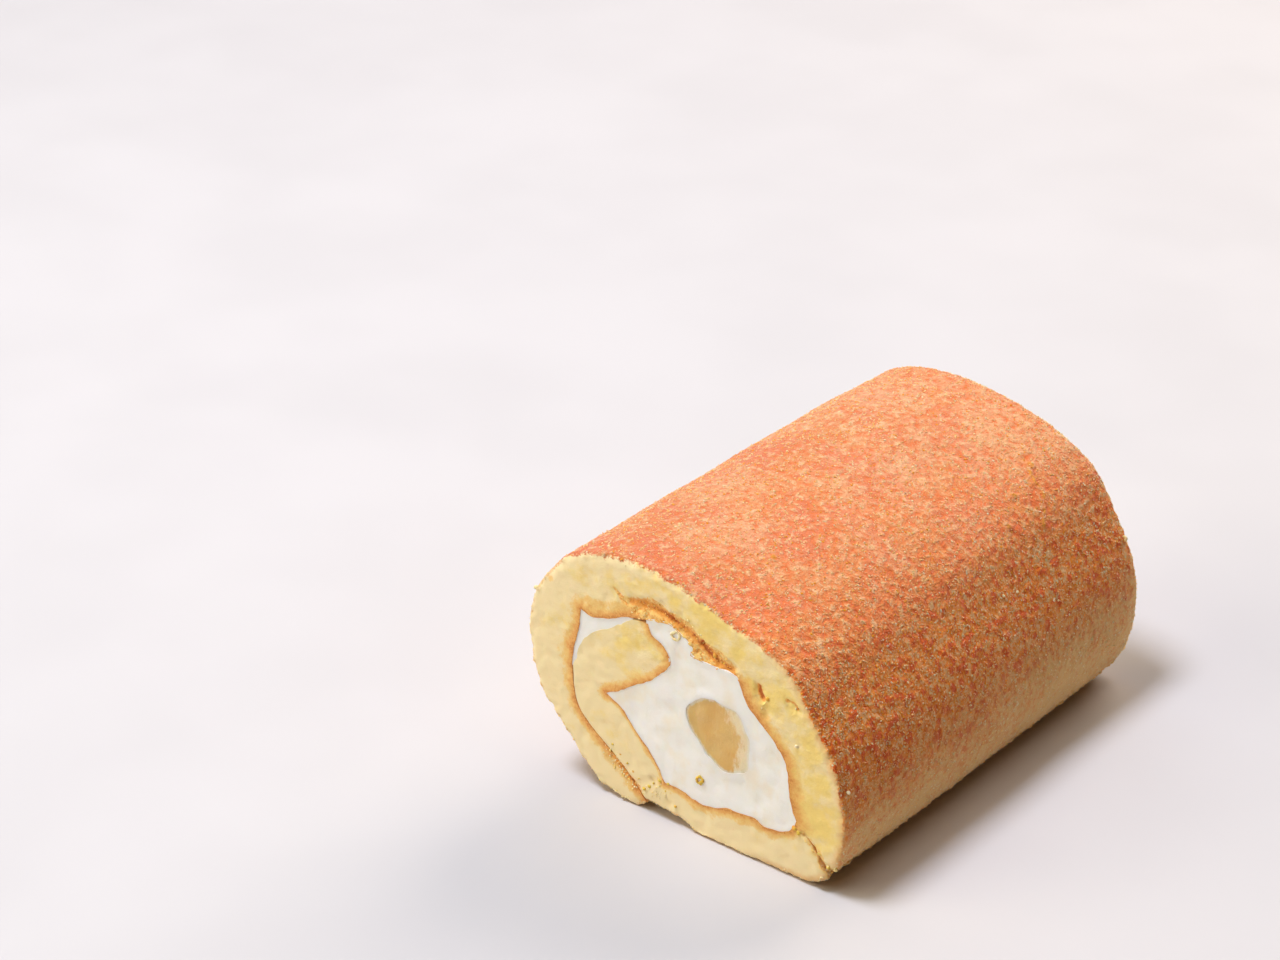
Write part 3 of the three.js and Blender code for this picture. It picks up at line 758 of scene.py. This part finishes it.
def scatter_tree(name, shape, shape_settings, shape_inputs, spread):
    """Sets small shapes on a surface, as many as its "dense" asks for, turned and sized at random."""
    tree = bpy.data.node_groups.new(name, "GeometryNodeTree")
    for key, kind in {"Surface": "Geometry", "Density": "Float", "Smallest": "Vector", "Largest": "Vector",
                      "Seed": "Int", "Finish": "Material"}.items():
        tree.interface.new_socket(key, in_out="INPUT", socket_type="NodeSocket" + kind)
    tree.interface.new_socket("Crumbs", in_out="OUTPUT", socket_type="NodeSocketGeometry")
    given = tree.nodes.new("NodeGroupInput").outputs

    def add(kind, settings={}, inputs={}):
        return add_node(tree, kind, settings, inputs).outputs

    def chance(low, high, seed):
        return add("FunctionNodeRandomValue", {"data_type": "FLOAT_VECTOR"}, {
            "Min": low, "Max": high, "Seed": seed})[0]

    dense = add("GeometryNodeInputNamedAttribute", {"data_type": "FLOAT"}, {"Name": "dense"})[0]
    density = add("ShaderNodeMath", {"operation": "MULTIPLY"}, {0: dense, 1: given["Density"]})[0]
    points = add("GeometryNodeDistributePointsOnFaces", {}, {
        "Mesh": given["Surface"], "Density": density, "Seed": given["Seed"]})
    tilt = chance((-spread, -spread, -math.pi), (spread, spread, math.pi), given["Seed"])
    turn = add("FunctionNodeRotateRotation", {"rotation_space": "LOCAL"}, {
        "Rotation": points["Rotation"], "Rotate By": tilt})[0]
    size = chance(given["Smallest"], given["Largest"], 11)
    body = add(shape, shape_settings, shape_inputs)["Mesh"]
    scattered_all = add("GeometryNodeInstanceOnPoints", {}, {
        "Points": points["Points"], "Instance": body, "Rotation": turn, "Scale": size})[0]
    shade = add("FunctionNodeRandomValue", {"data_type": "FLOAT"}, {"Seed": 23})[1]
    tinted = add("GeometryNodeStoreNamedAttribute", {"data_type": "FLOAT", "domain": "INSTANCE"}, {
        "Geometry": scattered_all, "Name": "tint", "Value": shade})[0]
    real = add("GeometryNodeRealizeInstances", {}, {"Geometry": tinted})[0]
    finished = add("GeometryNodeSetMaterial", {}, {"Geometry": real, "Material": given["Finish"]})[0]
    add("NodeGroupOutput", {}, {0: finished})
    return tree


def scatter(name, tree, surface, finish, **values):
    """A plain mesh object of what the tree sets on the surface, which is used up."""
    modifier = surface.modifiers.new("scatter", "NODES")
    modifier.node_group = tree
    for key, value in {"finish": finish.material, **values}.items():
        modifier[tree.interface.items_tree[key.capitalize()].identifier] = value
    depsgraph = bpy.context.evaluated_depsgraph_get()
    mesh = bpy.data.meshes.new_from_object(surface.evaluated_get(depsgraph), depsgraph=depsgraph)
    bpy.data.objects.remove(surface)
    co = np.empty(len(mesh.vertices) * 3)
    mesh.vertices.foreach_get("co", co)
    co[2::3] = np.maximum(co[2::3], 0)
    mesh.vertices.foreach_set("co", co)
    return linked(bpy.data.objects.new(name, mesh))


def in_metres(*sizes):
    return tuple(size * MM for size in sizes)


fuzz_finish = Finish("fuzz_threads", 0.9, 0.3, (0.7, (1.0, 0.7, 0.4), 0.001))
tint = fuzz_finish.attribute("tint")
thread = fuzz_finish.layers(SIDE_TONE, (tint.step(0.0, 0.6), SIDE_FUZZ),
                            (tint.step(0.75, 0.95) * 0.7, PALE_CRUMB))
pale_thread = fuzz_finish.blend(tint.step(0.0, 1.0), FLANK_PALE, PALE_CRUMB)
by_cut = (fuzz_finish.attribute("cut") + (tint - 0.5) * 0.5).step(0.3, 0.8)
fuzz_finish.show(fuzz_finish.layers(
    pale_thread, (fuzz_finish.attribute("blush").step(0.2, 0.6), thread), (by_cut, pale_thread)))

wall = points[:wall_end]
wall_height = wall[:, 2]
wall_faces = faces[:(ring_count - 1) * (outer_count - 1) * 2]
wall_blush, wall_cut = blush[:wall_end], cut_share[:wall_end]
clear_of_table = ramp(0.25, 1.2, wall_height) * ~np.tile(is_crack, ring_count)
growth = clear_of_table * (0.65 + 0.35 * ramp(-0.5, 0.5, texture(wall, (1, 5.0, 51))))
flank_side = ramp(44.0, 30.0, wall_height)
arris = (wall_cut > 0.02) * clear_of_table


def wall_surface(dense):
    return mesh_object("surface", wall, wall_faces, {"dense": dense, "blush": wall_blush, "cut": wall_cut},
                       filled=False)


fringe = between(0.6, 1.6, 4.0, 6.5, wall_height)
thread_density = growth * (0.3 + wall_blush * (0.2 + 0.3 * flank_side))
thread_tree = scatter_tree(
    "fuzz_of_threads", "GeometryNodeMeshCone", {"fill_type": "NGON"},
    {"Vertices": 3, "Side Segments": 1, "Radius Bottom": 1.0, "Radius Top": 0.0, "Depth": 2.0}, 1.25)
fuzz_piece = scatter(
    "roll_fuzz", thread_tree, wall_surface(np.maximum.reduce([thread_density, 0.8 * arris, fringe])),
    fuzz_finish, density=2.8e6, seed=5,
    smallest=in_metres(0.06, 0.06, 0.08), largest=in_metres(0.14, 0.14, 0.22))
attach(fuzz_piece, "root")

lump_density = growth * (1 - pitted[:wall_end]) * (0.12 + wall_blush * (0.3 + 0.58 * flank_side))
lump_tree = scatter_tree("fuzz_of_lumps", "GeometryNodeMeshUVSphere", {}, {
    "Segments": 4, "Rings": 2, "Radius": 1.0}, 0.5)
fluff_piece = scatter(
    "roll_fluff", lump_tree, wall_surface(np.maximum(lump_density, 0.3 * arris)),
    fuzz_finish, density=2.8e6, seed=15,
    smallest=in_metres(0.14, 0.11, 0.08), largest=in_metres(0.42, 0.32, 0.2))
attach(fluff_piece, "root")

crumb_finish = Finish("loose_crumbs", 0.85, 0.3, (0.3, (1.0, 0.6, 0.3), 0.001))
tint = crumb_finish.attribute("tint")
pale = crumb_finish.blend(tint.step(0.0, 0.4), YELLOW_CRUMB, PALE_CRUMB)
brown = crumb_finish.layers(TORN_BROWN, (tint.step(0.05, 0.5), TORN_GOLD),
                            (tint.step(0.9, 1.0) * 0.5, PALE_CRUMB))
by_tear = crumb_finish.attribute("torn").step(0.2, 0.5)
crumb_finish.show(crumb_finish.blend(by_tear, pale, brown), crumb_finish.noise(0.4), 0.1)

SEAM_FOOT = np.array([(-17, 9.5), (-13, 6), (-9.5, 4.2), (-5, 5.5)])
near_faces, far_faces = (faces[np.isin(faces, index).all(1)] for index, _ in ends)
near_faces = near_faces[points[near_faces][:, :, 1].max(1) < -HALF + 4]
dense = np.zeros(len(points))
for index, sign in ends:
    end_height = points[index][:, 2]
    section = unplaced(flat(points[index]), sign * HALF)
    at_rim = ramp(0.9, 0.1, away(section, closed(outer_section))) * ramp(0.3, 1.5, end_height)
    at_foot = ramp(1.8, 0.3, away(section, SEAM_FOOT))
    at_crack = ramp(0.7, 0.1, away(section, CRACK)) * ramp(0.2, 1.0, end_height)
    in_pits = ramp(0.1, 0.5, sunk[index])
    dense[index] = np.maximum.reduce([
        0.22 * torn[index], 0.06 * at_rim, 0.8 * at_foot, 0.6 * at_crack, 0.08 * in_pits])
foot_crumbs = 0.45 * between(0.1, 0.6, 1.5, 5.0, wall_height)
dense[:wall_end] = foot_crumbs + 0.08 * (wall_cut > 0.5)
cut_surface = mesh_object("surface", points, np.vstack([wall_faces, near_faces, far_faces]), {
    "dense": dense, "torn": np.maximum(torn, 0.6 * browner_and_shaded)}, filled=False)
crumb_tree = scatter_tree("scatter_of_crumbs", "GeometryNodeMeshIcoSphere", {}, {
    "Radius": 1.0, "Subdivisions": 1}, 3.0)
crumbs_piece = scatter(
    "roll_crumbs", crumb_tree, cut_surface, crumb_finish, density=4.0e6, seed=8,
    smallest=in_metres(0.07, 0.07, 0.07), largest=in_metres(0.26, 0.26, 0.26))
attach(crumbs_piece, "root")

# ----------------------------------------------------------------------
# Whipped cream, spread on the sheet and rolled up in it: the main body and the wedge squeezed in above the
# flap. It is cut flush, with soft drags of the knife.

FILLING_CAP_SPACING = 0.5
FILLING_RING_SPACING = 6.0
FILLING_EDGE_SPACING = 0.6
EDGE_SINK = 0.05  # how far the cream's edges lie behind the sponge's
FRUIT_MIDDLE = np.array([8, 23.2])
FRUIT_TAPER, FRUIT_TWIST, FRUIT_LEAN, FRUIT_WAVE = 0.14, -0.45, -1.5, 4.0
FRUIT_EDGE = [[(0.6, 25.2), (1.9, 27.7), (5.6, 29.9)], [(8.4, 29.8), (12, 29.6), (13.6, 27)],
              [(15, 25.2), (14.8, 21.9), (14.5, 18)], [(11, 16.6), (8.6, 16.5), (4.1, 20.1), (1.8, 23)]]
TUCK_EDGE = [TUCK_TOP, [*FLAP_ABOVE[:1], *TUCK_UNDER[1:]], TUCK_LEFT]


def placed_fruit(points, y):
    """The peach strip twists, tapers, leans and waves a little on its way along the roll."""
    t = (y + HALF) / LENGTH
    x, z = rotated(*((points - FRUIT_MIDDLE) * (1 - FRUIT_TAPER * t)).T, FRUIT_TWIST * t)
    right, rise = FRUIT_MIDDLE + (FRUIT_LEAN * t, math.sin(FRUIT_WAVE * t))
    return placed(np.stack([right + x, rise + z], 1), y)


def strip(walls, reach, spacing, seed):
    """A closed body run along the roll between its cut ends. Walls are (section points, placing) pairs; the
    numbers of each end's points come back with it, and the end's side."""
    count = max(2, round(2 * reach / FILLING_RING_SPACING))
    ys = [-reach, -reach + 0.5, *np.linspace(-reach + 3, reach - 3, count), reach - 0.5, reach]
    points, faces, borders, start = [], [], ([], []), 0
    for section, placing in walls:
        n = len(section)
        points += [at_y(placing(section, y), y) for y in ys]
        for ring in range(start, start + (len(ys) - 1) * n, n):
            for i in range(n):
                a, b = ring + i, ring + (i + 1) % n
                faces += [(a, b, b + n), (a, b + n, a + n)]
        borders[0].append(np.arange(start, start + n))
        start += len(ys) * n
        borders[1].append(np.arange(start - n, start))
    points = np.vstack(points)
    caps = []
    for y, border in zip((-reach, reach), borders):
        points, triangles, index = with_end(points, border, y, spacing, seed)
        faces += triangles
        caps.append((index, -1 if y < 0 else 1))
    return points, np.array(faces), caps


def grown(points, distance):
    return points + outward(points) * distance


def filling_section(stretches):
    points = edge(stretches, FILLING_EDGE_SPACING)[0]
    x, z = points.T
    return points if (x * np.roll(z, -1) - np.roll(x, -1) * z).sum() > 0 else points[::-1]


fruit_section = filling_section(FRUIT_EDGE)
for _ in range(6):
    before, after = np.roll(fruit_section, 1, axis=0), np.roll(fruit_section, -1, axis=0)
    fruit_section = (before + 2 * fruit_section + after) / 4
lifted = at_y(fruit_section, 0.0)
waves = texture(lifted, (0.25, 1.6, 71), (0.3, 4.0, 72)) + 0.35
fruit_section = grown(fruit_section, waves[:, None])

CREAM_WHITE = colour(255, 248, 239)
CREAM_SHADE = colour(254, 238, 216)
whipped = Finish("whipped_cream", 0.5, 0.35, (0.35, (1.0, 0.75, 0.5), 0.003))
clouds = whipped.noise(7.0, 3.0, 0.55)
smears = whipped.noise(3.0, 3.0, 0.6, offset=0.4, stretch=(1, 1, 0.45))
shaded = (clouds + (smears - 0.5) * 0.5).step(0.45, 0.75)
whipped.show(whipped.blend(shaded, CREAM_WHITE, CREAM_SHADE), smears * 0.8 + whipped.noise(0.8) * 0.2, 0.16)

for name, node, stretches, holes, reach, seed in (
        ("roll_cream", "cream", CREAM_LOOP, [(grown(fruit_section, -0.1), placed_fruit)], 49.0, 5),
        ("roll_cream_tuck", "cream_tuck", TUCK_EDGE, [], 48.95, 6)):
    walls = [(grown(filling_section(stretches), 0.42), placed), *holes]
    made, triangles, caps = strip(walls, reach, FILLING_CAP_SPACING, seed)
    for index, sign in caps:
        lines = [closed(placing(line, sign * HALF)) for line, placing in walls]
        within = np.min([away(flat(made[index]), line) for line in lines], axis=0)
        soft = texture(made[index], (0.24, 5.0, 2), (0.1, 2.2, 4)) - 0.1
        made[index, 1] += sign * (np.minimum(soft, 0) * ramp(0.4, 2.2, within) - EDGE_SINK)
    piece = mesh_object(name, made, triangles, {})
    piece.data.materials.append(whipped.material)
    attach(piece, "root")
    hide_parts(node)

# ----------------------------------------------------------------------
# Strip of peach, laid off centre in the cream: moist, tan and translucent, with a paler fibrous side.

made, triangles, caps = strip([(fruit_section, placed_fruit)], 48.95, FILLING_CAP_SPACING, 7)
rind, thin_edge = np.zeros((2, len(made)))
right_side = curve([*FRUIT_EDGE[1][1:], *FRUIT_EDGE[2], (13.2, 16.4)], 0.6)
for index, sign in caps:
    right_line, rim_line = (placed_fruit(line, sign * HALF) for line in (right_side, closed(fruit_section)))
    rind[index] = ramp(4.4, 0.8, away(flat(made[index]), right_line))
    thin_edge[index] = ramp(1.3, 0.0, away(flat(made[index]), rim_line))
    soft = np.minimum(texture(made[index], (0.2, 3.0, 1)) - 0.05, 0)
    made[index, 1] += sign * (soft * (1 - thin_edge[index]) - 0.07)
fruit = mesh_object("roll_fruit", made, triangles, {"rind": rind, "thin_edge": thin_edge})

PEACH_DEEP, PEACH, PEACH_PALE = colour(223, 172, 89), colour(229, 188, 113), colour(250, 226, 186)
peach = Finish("moist_peach", 0.32, 0.5, (0.5, (1.0, 0.6, 0.25), 0.003))
fibres = peach.noise(1.2, 4.0, 0.65, stretch=(1, 1, 0.45))
peach.show(peach.layers(
    PEACH,
    (peach.noise(6.0).step(0.35, 0.65), PEACH_DEEP),
    ((peach.attribute("rind") + (fibres - 0.5) * 2.2).step(0.3, 0.9) * 0.9, PEACH_PALE),
    ((peach.attribute("thin_edge") + (fibres - 0.5) * 1.4).step(0.35, 1.05) * 0.85, CREAM_SHADE)), fibres, 0.25)
fruit.data.materials.append(peach.material)
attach(fruit, "root")
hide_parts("fruit")

# ----------------------------------------------------------------------
# Loose bits left by the knife: a ring and a bubble of crumb stuck in the cream, and crumbs on the sponge.

BITS = [  # x, y, z, size across, shade from 0 brown to 1 white
    (33.3, -47.4, 21.8, 1, 0.9), (23.5, -49.1, 28, 0.9, 0.9), (36.8, 30.1, 16.9, 0.7, 0.65),
    (29.8, 12.3, 33.1, 0.6, 0.7), (29.3, 8.2, 33.9, 0.5, 0.65), (-36.2, -48.6, 38.2, 1.3, 0.7),
    (37.2, 47.5, 33, 1.2, 0.55), (5.4, -48.6, 39.6, 1, 0), (7.2, -48.8, 38.6, 0.7, 0.2),
    (17.2, -48.6, 35.2, 0.8, 0.15), (23.2, -48.9, 11, 1, 0.1), (24.4, -48.9, 10.2, 0.7, 0.25),
    (-6.6, -49, 7.8, 0.8, 0.3), (-3, -49, 3.9, 0.7, 0.25), (-9, -49, 5.6, 0.7, 0.4),
    (29, -48.9, 7.6, 0.7, 0.45), (-17.6, -49, 11.4, 0.45, 0.3), (-15.9, -49, 9.9, 0.6, 0.25),
    (-14.3, -49, 8.5, 0.5, 0.35), (-12.9, -49, 7.3, 0.6, 0.2), (-11.4, -49, 6.4, 0.5, 0.35),
    (-10.2, -49, 4.7, 0.6, 0.25), (-8.1, -49, 6.7, 0.45, 0.3), (-5.3, -49, 6.2, 0.55, 0.3),
    (-4.6, -49, 8.6, 0.5, 0.25), (31, -48.9, 5.2, 0.9, 0.5), (32.6, -48.9, 3.6, 0.9, 0.5)]
RINGS = [((2.5, -49, 12), 0.62, 0.3, 0.3), ((-3.2, -49, 40.3), 0.8, 0.24, 0.7)]  # middle, radii, shade
AROUND, ACROSS_RING = 28, 10

bits = bmesh.new()
shade_layer = bits.verts.layers.float.new("shade")


def roughen(vertices, shade, seed):
    bits.normal_update()
    for vertex in vertices:
        push = noise.noise(vertex.co / MM * 1.4 + Vector((seed, 0, seed)))
        vertex.co += vertex.normal * push * 0.28 * MM
        vertex[shade_layer] = shade + 0.2 * push


sponge_surface = BVHTree.FromPolygons([Vector(p) for p in points * MM], [tuple(map(int, f)) for f in faces])
for seed, (x, y, z, size, shade) in enumerate(BITS):
    made = bmesh.ops.create_icosphere(bits, subdivisions=3, radius=size / 2 * MM)["verts"]
    stretch = Vector((1.0, 0.55 + 0.1 * (seed % 3), 0.7 + 0.15 * (seed % 4)))
    spot = sponge_surface.find_nearest(Vector((x, y, z)) * MM)[0]
    for vertex in made:
        vertex.co = vertex.co * stretch + spot
    roughen(made, shade, seed * 1.7)
for seed, ((x, y, z), radius, thickness, shade) in enumerate(RINGS):
    made = []
    for i in range(AROUND):
        turn = 2 * math.pi * i / AROUND
        reach = radius * (1 + 0.12 * math.sin(2 * turn + seed) + 0.06 * math.sin(5 * turn))
        for j in range(ACROSS_RING):
            bend = 2 * math.pi * j / ACROSS_RING
            out = reach + thickness * math.cos(bend)
            made.append(bits.verts.new(Vector((x + out * math.cos(turn), y + 0.7 * thickness * math.sin(bend),
                                               z + 1.15 * out * math.sin(turn))) * MM))
    for i in range(AROUND):
        for j in range(ACROSS_RING):
            a, b, k = i * ACROSS_RING, (i + 1) % AROUND * ACROSS_RING, (j + 1) % ACROSS_RING
            bits.faces.new([made[a + j], made[b + j], made[b + k], made[a + k]])
    roughen(made, shade, 40 + seed)
bmesh.ops.recalc_face_normals(bits, faces=bits.faces)
mesh = bpy.data.meshes.new("roll_bits")
bits.to_mesh(mesh)
bits.free()
mesh.shade_smooth()
bits_piece = linked(bpy.data.objects.new("roll_bits", mesh))

bit_finish = Finish("knife_crumbs", 0.6, 0.4, (0.3, (1.0, 0.6, 0.3), 0.001))
shade = bit_finish.attribute("shade") + (bit_finish.noise(0.7, 3.0, 0.6) - 0.5) * 0.7
bit_finish.show(bit_finish.layers(
    TORN_BROWN, (shade.step(-0.1, 0.35), colour(222, 186, 70)), (shade.step(0.4, 0.75), PALE_CRUMB),
    (shade.step(0.8, 1.1), colour(255, 230, 196))), bit_finish.noise(0.45), 0.15)
bits_piece.data.materials.append(bit_finish.material)
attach(bits_piece, "root")

# ----------------------------------------------------------------------
# The table it lies on, the light and the camera.

bpy.ops.mesh.primitive_plane_add(size=6, location=(0, 0, -0.0002))
floor = bpy.context.active_object
floor.name = "pale_table"
table = Finish("pale_table", 0.7, 0.3)
table_patches = table.noise(60.0).step(0.3, 0.7)
table.show(table.blend(table_patches, colour(208, 202, 202), colour(212, 206, 206)))
floor.data.materials.append(table.material)

world = bpy.data.worlds.new("room")
scene.world = world
world.use_nodes = True
background = world.node_tree.nodes["Background"].inputs
background["Color"].default_value = (1.0, 0.97, 0.95, 1)
background["Strength"].default_value = 0.005

LAMP_DISTANCE, LAMP_TARGET = 1.3, Vector((0, 0, 0.025))
for name, toward, size, power, tint in (
        ("overhead_light", (-0.289, -0.206, 0.927), 0.4, 16.2, (0.8, 0.87, 1)),
        ("back_light", (0, 0.788, 0.616), 0.9, 12.1, (1, 0.9, 0.76)),
        ("left_light", (-0.557, 0.557, 0.616), 0.9, 1.7, (0.51, 0.65, 1)),
        ("front_left_light", (-0.557, -0.557, 0.616), 0.9, 5.5, (1, 0.97, 0.73)),
        ("left_bounce", (-0.7, -0.7, 0.21), 0.9, 4.2, (1, 0.88, 0.7)),
        ("right_bounce", (0.7, -0.7, 0.12), 0.9, 1.1, (1, 0.74, 0.45))):
    data = bpy.data.lights.new(name, "AREA")
    data.shape = "DISK"
    data.size = size
    data.energy = power
    data.color = tint
    lamp = linked(bpy.data.objects.new(name, data))
    direction = Vector(toward).normalized()
    lamp.location = direction * LAMP_DISTANCE + LAMP_TARGET
    lamp.rotation_euler = direction.to_track_quat("Z", "Y").to_euler()

CAMERA_TILT = math.radians(28.5)
camera_data = bpy.data.cameras.new("camera")
camera_data.sensor_width = 36.0
camera_data.lens = 80.16
camera_data.clip_start = 0.01
camera = linked(bpy.data.objects.new("camera", camera_data))
camera.location = (0.25945, -0.3892, 0.30506)
look = Vector((-0.6226 * math.cos(CAMERA_TILT), 0.7825 * math.cos(CAMERA_TILT), -math.sin(CAMERA_TILT)))
camera.rotation_euler = (-look).to_track_quat("Z", "Y").to_euler()
scene.camera = camera
scene.view_settings.view_transform = "Standard"
